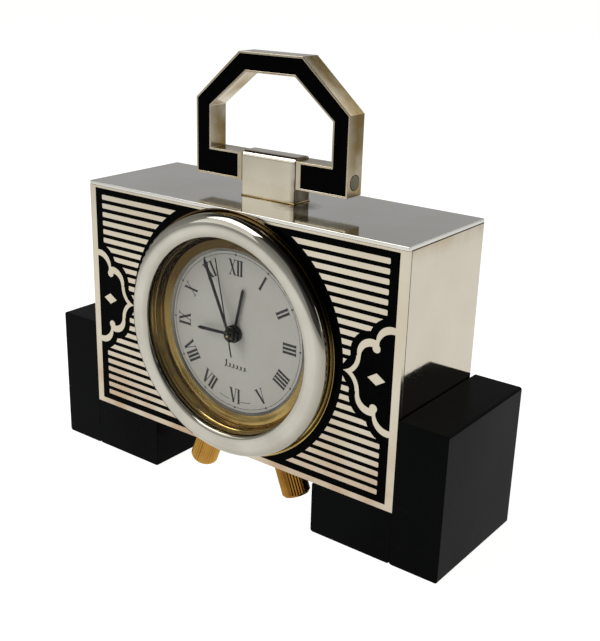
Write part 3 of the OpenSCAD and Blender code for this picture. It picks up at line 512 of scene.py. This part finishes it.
def lathed(name, clean, worn, gloss, dull, tarnish_and_shade=None, shaded_sides=None):
    """Turned and polished metal: a cloudy tone and the tool's faint rings. The colour for the top
    of the dial stands for tarnish, where wiping never reached, and for painted shade where the
    bezel shadows the rings. The colour for both sides of a rounded crest, given as (colour,
    crest, start, full), is painted shade that darkens the sides from start to full away from it."""
    material, tree, shader, place = paint(name)
    shader.inputs["Metallic"].default_value = 1.0
    cloud = graded(tree, noise(tree, place, scale=90, detail=5), 0.38, 0.72, 0, 1)
    tone = blended(tree, cloud, clean, worn)
    parts = tree.nodes.new("ShaderNodeSeparateXYZ")
    tree.links.new(place, parts.inputs["Vector"])
    # Darker towards the top of the dial: tarnish, and painted shade from the bezel.
    if tarnish_and_shade:
        upward = graded(tree, parts.outputs["Z"], dial_height - 20 * mm, dial_height + 12 * mm, 0, 1)
        tone = blended(tree, upward, tone, tarnish_and_shade)
    centred = tree.nodes.new("ShaderNodeVectorMath")
    centred.operation = "SUBTRACT"
    centred.inputs[1].default_value = (0, 0, dial_height)
    tree.links.new(place, centred.inputs[0])
    flat = tree.nodes.new("ShaderNodeVectorMath")
    flat.operation = "MULTIPLY"
    flat.inputs[1].default_value = (1, 0, 1)
    tree.links.new(centred.outputs["Vector"], flat.inputs[0])
    radius = tree.nodes.new("ShaderNodeVectorMath")
    radius.operation = "LENGTH"
    tree.links.new(flat.outputs["Vector"], radius.inputs[0])
    # Painted shade: darker on both sides of the crest.
    if shaded_sides:
        colour, crest, start, full = shaded_sides
        for side in (-1, 1):
            reach = graded(tree, radius.outputs["Value"], crest + side * start, crest + side * full, 0, 1)
            tone = blended(tree, reach, tone, colour)
    tree.links.new(tone, shader.inputs["Base Color"])
    across = tree.nodes.new("ShaderNodeCombineXYZ")
    tree.links.new(radius.outputs["Value"], across.inputs["X"])
    tree.links.new(parts.outputs["Y"], across.inputs["Y"])
    rings = noise(tree, across.outputs["Vector"], scale=2600, detail=3)
    tree.links.new(graded(tree, rings, 0.3, 0.7, gloss, dull), shader.inputs["Roughness"])
    ripple(tree, shader, rings, depth=0.01 * mm, strength=0.04)
    return material


# The silver ring is darker on both sides of its crest: painted shade that gives its round some modelling.
ring_silver = lathed("silver_ring", clean=(0.50, 0.478, 0.42, 1), worn=(0.42, 0.398, 0.34, 1),
                     gloss=0.035, dull=0.07, shaded_sides=((0.30, 0.28, 0.225, 1), 28.3 * mm, 0.9 * mm, 3.1 * mm))
crest_r, crest = 28.4, 4.35
outer_r, neck_r, neck_top, neck_ease = 31.6, 30.6, 2.4, 0.1
mouth_r, mouth = 25.8, 3.6
seat_r, seat_low, seat_top = 26.3, 0.55, 3.3
outer_round = [(crest_r + (outer_r - crest_r) * math.cos(math.radians(a)),
                neck_top + (crest - neck_top) * math.sin(math.radians(a))) for a in range(0, 91, 6)]
inner_round = [(crest_r - (crest_r - mouth_r) * math.sin(math.radians(a)),
                mouth + (crest - mouth) * math.cos(math.radians(a))) for a in range(6, 91, 6)]
ring_profile = ([(neck_r, seat_low), (neck_r, neck_top - neck_ease), (neck_r + 2 * neck_ease, neck_top)]
                + outer_round + inner_round
                + [(mouth_r, seat_top), (seat_r, seat_top), (seat_r, seat_low)])
turned("bezel_ring_silver", ring_profile, ring_silver, "bezel_ring")
# The gilt darkens towards the top of the dial: tarnish, and painted shade from the bezel.
gilt = lathed("gilt_brass", clean=(0.46, 0.33, 0.11, 1), worn=(0.25, 0.16, 0.05, 1),
              gloss=0.13, dull=0.24, tarnish_and_shade=(0.075, 0.048, 0.016, 1))
flange_profile = [(28.95, -5.0), (29.6, -5.0), (29.6, 0), (32.2, 0), (32.3, 0.1), (32.3, 0.42),
                  (32.17, 0.55), (31.5, 0.55), (31.35, 0.45), (31.2, 0.55), (28.95, 0.55)]
turned("bezel_flange_gilt", flange_profile, gilt, "bezel_flange")
clothed(["retaining_ring"], turned_brass)

# ---------------------------------------------------------------- Crystal
# A flat disc of mineral glass, ground at the edge and bedded in the bezel on a thin gasket
# of black rubber.
glass, tree, shader, place = paint("crystal_glass")
shader.inputs["Base Color"].default_value = (0.02, 0.022, 0.022, 1)
shader.inputs["Alpha"].default_value = 0.05
tree.links.new(graded(tree, noise(tree, place, scale=90), 0.3, 0.7, 0.01, 0.04), shader.inputs["Roughness"])
crystal_profile = [(26.15, 2.5), (26.3, 2.62), (26.3, 3.2), (26.2, 3.3)]
turned("crystal_disc", crystal_profile, glass, "crystal", closed=False)


def mottled(name, grain, dark, light, gloss_grain, gloss, dull):
    """A plain material with a fine mottle, dark to light, and its gloss mottled as well."""
    material, tree, shader, place = paint(name)
    tree.links.new(blended(tree, noise(tree, place, grain), dark, light), shader.inputs["Base Color"])
    tree.links.new(graded(tree, noise(tree, place, gloss_grain), 0.3, 0.7, gloss, dull),
                   shader.inputs["Roughness"])
    return material, tree, shader, place


rubber = mottled("gasket_rubber", grain=800, dark=(0.008, 0.008, 0.008, 1), light=(0.02, 0.02, 0.02, 1),
                 gloss_grain=500, gloss=0.55, dull=0.75)[0]
clothed(["crystal_gasket"], rubber)

# ---------------------------------------------------------------- Rings inside the bezel
# Two stepped rings of gilt brass lead from the crystal down to a grey metal rim that
# frames the dial.
outer_profile = [(26.3, -0.6), (26.3, 2.2), (26.0, 2.2), (26.0, 2.5), (25.7, 2.5), (25.62, 2.1),
                 (25.45, 1.9), (25.36, 1.2), (25.2, 1.05), (25.0, -0.45), (24.95, -0.6)]
inner_profile = [(27.2, -0.6), (24.95, -0.6), (24.7, -1.15), (24.42, -0.97), (24.35, -0.9), (24.2, -0.9),
                 (23.2, -1.2), (23.1, -1.26), (22.1, -1.5), (22.1, -1.9), (27.2, -1.9)]
rim_profile = [(22.1, -1.5), (21.36, -1.73), (21.3, -1.77), (21.3, -1.9), (22.1, -1.9)]
turned("outer_rehaut_gilt", outer_profile, gilt, "outer_rehaut")
turned("inner_rehaut_gilt", inner_profile, gilt, "inner_rehaut")
rim_metal = lathed("rim_metal", clean=(0.17, 0.165, 0.14, 1), worn=(0.11, 0.10, 0.08, 1),
                   gloss=0.25, dull=0.35)
turned("dial_rim_metal", rim_profile, rim_metal, "dial_rim")

# ---------------------------------------------------------------- Dial
# A disc stamped from sheet metal with a fine satin silver-white finish, held under its rim
# and yellowed a little by age.
dial_white, tree, shader, place = paint("dial_white")
bloom = graded(tree, noise(tree, place, scale=1200, detail=3), 0.3, 0.7, 0, 1)
age = graded(tree, noise(tree, place, scale=60, detail=2), 0.35, 0.7, 0, 1)
paper = blended(tree, bloom, (0.475, 0.47, 0.425, 1), (0.52, 0.515, 0.47, 1))
tree.links.new(blended(tree, age, paper, (0.47, 0.455, 0.40, 1)), shader.inputs["Base Color"])
tree.links.new(graded(tree, bloom, 0, 1, 0.48, 0.62), shader.inputs["Roughness"])
shader.inputs["Specular IOR Level"].default_value = 0.3
clothed(["dial"], dial_white)

# ---------------------------------------------------------------- Printing on the dial
# Roman hours, a fine minute circle with a lozenge at each hour, two short rules beside the
# six and a small flourish, all printed in black ink, and so a hair thicker than the dial.
ink_thick, ink_gap = 0.02 * mm, 0.0005 * mm
dial_face = dial_low.y
ink_pieces = []


def ink(corners):
    """A flat printed shape on the dial from its corners, as (right, up) in mm."""
    bpy.ops.object.select_all(action="DESELECT")
    bpy.ops.mesh.primitive_circle_add(vertices=len(corners), radius=mm, fill_type="NGON")
    shape = bpy.context.object
    for vertex, (right, up) in zip(shape.data.vertices, corners):
        vertex.co = (right * mm, 0, up * mm)
    ink_pieces.append(shape)


def stroke(right_a, up_a, right_b, up_b, width):
    """A printed line with level ends."""
    half = width / 2
    ink([(right_a - half, up_a), (right_b - half, up_b), (right_b + half, up_b), (right_a + half, up_a)])


letter_half, thick, thin, serif = 2.05, 0.66, 0.2, 0.2
letter_steps = {"I": 1.05, "V": 2.5, "X": 2.6}
letter_strokes = {"I": ((0, 0, thick),),
                  "V": ((-0.85, 0.08, thick), (0.9, 0.1, thin)),
                  "X": ((-0.8, 0.8, thick), (0.8, -0.8, thin))}
letter_serifs = {"I": ((0, -1, 0.9), (0, 1, 0.9)),
                 "V": ((-0.85, 1, 1.0), (0.9, 1, 0.75)),
                 "X": ((-0.8, -1, 0.9), (-0.8, 1, 0.9), (0.8, -1, 0.9), (0.8, 1, 0.9))}


def letter(kind, middle):
    """One Roman letter, centred on middle: strokes from its top to its foot, and flat serifs."""
    for top, foot, width in letter_strokes[kind]:
        stroke(middle + top, letter_half, middle + foot, -letter_half, width)
    for at, end, width in letter_serifs[kind]:
        stroke(middle + at, end * letter_half, middle + at, end * (letter_half - serif), width)


def laid(shapes, turn, right, up):
    """Turns printed shapes by an angle, clockwise, and carries them to a place on the dial."""
    for shape in shapes:
        shape.data.transform(Matrix.Translation((right * mm, 0, up * mm)) @ Matrix.Rotation(turn, 4, "Y"))


hours = ("XII", "I", "II", "III", "IIII", "V", "VI", "VII", "VIII", "IX", "X", "XI")
numeral_r = 17.3
for hour, word in enumerate(hours):
    start = len(ink_pieces)
    width = sum(letter_steps[kind] for kind in word)
    at = -width / 2
    for kind in word:
        letter(kind, at + letter_steps[kind] / 2)
        at += letter_steps[kind]
    angle = math.radians(30 * hour)
    upright = angle + (math.pi if 4 <= hour <= 8 else 0)
    laid(ink_pieces[start:], upright, numeral_r * math.sin(angle), numeral_r * math.cos(angle))

track_r, track_line, track_parts = 20.5, 0.1, 180
tick_half, tick_wide = 0.16, 0.07
lozenge_wide, lozenge_high, lozenge_out = 0.3, 0.42, 0.12
for part in range(track_parts):
    angle, past = (math.radians(360 * turn / track_parts) for turn in (part, part + 1))
    ink([(r * math.sin(a), r * math.cos(a)) for r, a in
         ((track_r, angle), (track_r, past), (track_r + track_line, past), (track_r + track_line, angle))])
for minute in range(60):
    start = len(ink_pieces)
    out = track_r
    if minute % 5:
        stroke(0, -tick_half, 0, tick_half, tick_wide)
    else:
        ink([(-lozenge_wide, 0), (0, lozenge_high), (lozenge_wide, 0), (0, -lozenge_high)])
        out += lozenge_out
    angle = math.radians(6 * minute)
    laid(ink_pieces[start:], angle, out * math.sin(angle), out * math.cos(angle))

rule_r, rule_start, rule_step, rule_parts, rule_half, rule_thin = 18.75, 6.6, 2.1, 5, 0.3, 0.09
for side in (-1, 1):
    for part in range(rule_parts):
        start = len(ink_pieces)
        angle = math.radians(180 - side * (rule_start + rule_step * part))
        ink([(-rule_half, -rule_thin), (-rule_half, rule_thin),
             (rule_half, rule_thin), (rule_half, -rule_thin)])
        laid(ink_pieces[start:], angle, rule_r * math.sin(angle), rule_r * math.cos(angle))

# The flourish is one pen line of short waves that sway to the right, with a taller first one.
flourish_mid, flourish_half, flourish_steps, flourish_waves = -9.2, 3.7, 90, 6
wave_height, wave_sway, first_height, first_lift = 0.55, 0.35, 0.75, 0.6
pen_right, pen_down = 0.32, 0.08
previous = None
for step in range(flourish_steps + 1):
    share = step / flourish_steps
    first = max(0, 1 - 4 * share)
    wave = 2 * math.pi * flourish_waves * share
    height = wave_height + first_height * first
    right = flourish_half * (2 * share - 1) + wave_sway * math.sin(wave)
    up = flourish_mid - height * math.cos(wave) + first_lift * first
    if previous:
        ink([previous, (previous[0] + pen_right, previous[1] - pen_down),
             (right + pen_right, up - pen_down), (right, up)])
    previous = (right, up)

bpy.ops.object.select_all(action="DESELECT")
for shape in ink_pieces:
    shape.select_set(True)
printing = ink_pieces[0]
bpy.context.view_layer.objects.active = printing
bpy.ops.object.join()
printing.name = "dial_printing"
bpy.ops.object.mode_set(mode="EDIT")
bpy.ops.mesh.select_all(action="SELECT")
bpy.ops.mesh.remove_doubles(threshold=ink_gap)
bpy.ops.mesh.extrude_region_move(TRANSFORM_OT_translate={"value": (0, -ink_thick, 0)})
bpy.ops.mesh.select_all(action="SELECT")
bpy.ops.mesh.normals_make_consistent(inside=False)
bpy.ops.transform.translate(value=(0, dial_face, dial_height))
bpy.ops.object.mode_set(mode="OBJECT")
black_ink = mottled("black_ink", grain=2500, dark=(0.006, 0.006, 0.006, 1), light=(0.03, 0.03, 0.03, 1),
                    gloss_grain=900, gloss=0.4, dull=0.6)[0]
printing.data.materials.append(black_ink)
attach(printing, "case")

# ---------------------------------------------------------------- Hands
# Four hands stamped from thin steel and lacquered black, each pressed on its own brass tube
# or, for the seconds, on its arbor.
lacquer, tree, shader, place = mottled("black_lacquer", grain=900, dark=(0.003, 0.003, 0.003, 1),
                                       light=(0.009, 0.009, 0.009, 1),
                                       gloss_grain=600, gloss=0.25, dull=0.4)
shader.inputs["Specular IOR Level"].default_value = 0.25
for hand in ("alarm_hand", "hour_hand", "minute_hand", "seconds_hand"):
    softened(hand, hand + "_black", width=0.05 * mm, material=lacquer, segments=1)

# ---------------------------------------------------------------- Movement
# A quartz alarm movement in a brass drum: brass wheels on steel studs between two black
# moulded plates, a copper coil, a circuit board, a round cell and a brass sounder disc.
moulded, tree, shader, place = mottled("moulded_black", grain=700, dark=(0.012, 0.012, 0.013, 1),
                                       light=(0.026, 0.026, 0.028, 1),
                                       gloss_grain=400, gloss=0.4, dull=0.6)
ripple(tree, shader, noise(tree, place, scale=2400, detail=2), depth=0.02 * mm, strength=0.3)
clothed(["movement_front_plate", "movement_rear_plate", "movement_pillars", "battery_cradle"], moulded)
clothed(["drum", "rear_cap", "sounder", "stem_bushes"], turned_brass)
clothed([wheel + "_wheel" for wheel in ("alarm", "hour", "centre", "seconds", "third", "minute",
                                        "alarm_setting", "time_setting", "fifth")], turned_brass)
clothed(["movement_screws", "wheel_studs", "rotor", "time_collar", "alarm_collar"], steel)
winding, tree, shader, place = paint("copper_winding")
shader.inputs["Metallic"].default_value = 1.0
turns = tree.nodes.new("ShaderNodeTexWave")
turns.inputs["Scale"].default_value = 1400
tree.links.new(place, turns.inputs["Vector"])
tree.links.new(blended(tree, turns.outputs["Fac"], (0.30, 0.11, 0.04, 1), (0.66, 0.30, 0.15, 1)),
               shader.inputs["Base Color"])
tree.links.new(graded(tree, turns.outputs["Fac"], 0, 1, 0.42, 0.25), shader.inputs["Roughness"])
clothed(["stator_and_coil"], winding)
board, tree, shader, place = paint("circuit_green")
tracks = graded(tree, noise(tree, place, scale=260, stretch=(1, 1, 3), detail=0), 0.50, 0.53, 0, 1)
tree.links.new(blended(tree, tracks, (0.008, 0.07, 0.03, 1), (0.03, 0.16, 0.07, 1)),
               shader.inputs["Base Color"])
tree.links.new(graded(tree, tracks, 0, 1, 0.35, 0.22), shader.inputs["Roughness"])
clothed(["circuit_board"], board)
cell_wrap = mottled("cell_wrap", grain=500, dark=(0.05, 0.05, 0.055, 1), light=(0.09, 0.09, 0.10, 1),
                    gloss_grain=220, gloss=0.25, dull=0.4)[0]
clothed(["battery"], cell_wrap)

# ---------------------------------------------------------------- Crowns
# Two solid brass knobs on stems that come down out of the movement, knurled along their
# length for the fingers and darkened by handling.
crown_brass = polished("crown_brass", clean=(0.44, 0.24, 0.045, 1), worn=(0.20, 0.085, 0.012, 1),
                       gloss=0.16, dull=0.32, scuff=(2, 2, 2))
for crown in ("time_crown", "alarm_crown"):
    softened(crown, crown + "_brass", width=0.06 * mm, material=crown_brass, segments=1, angle=12)
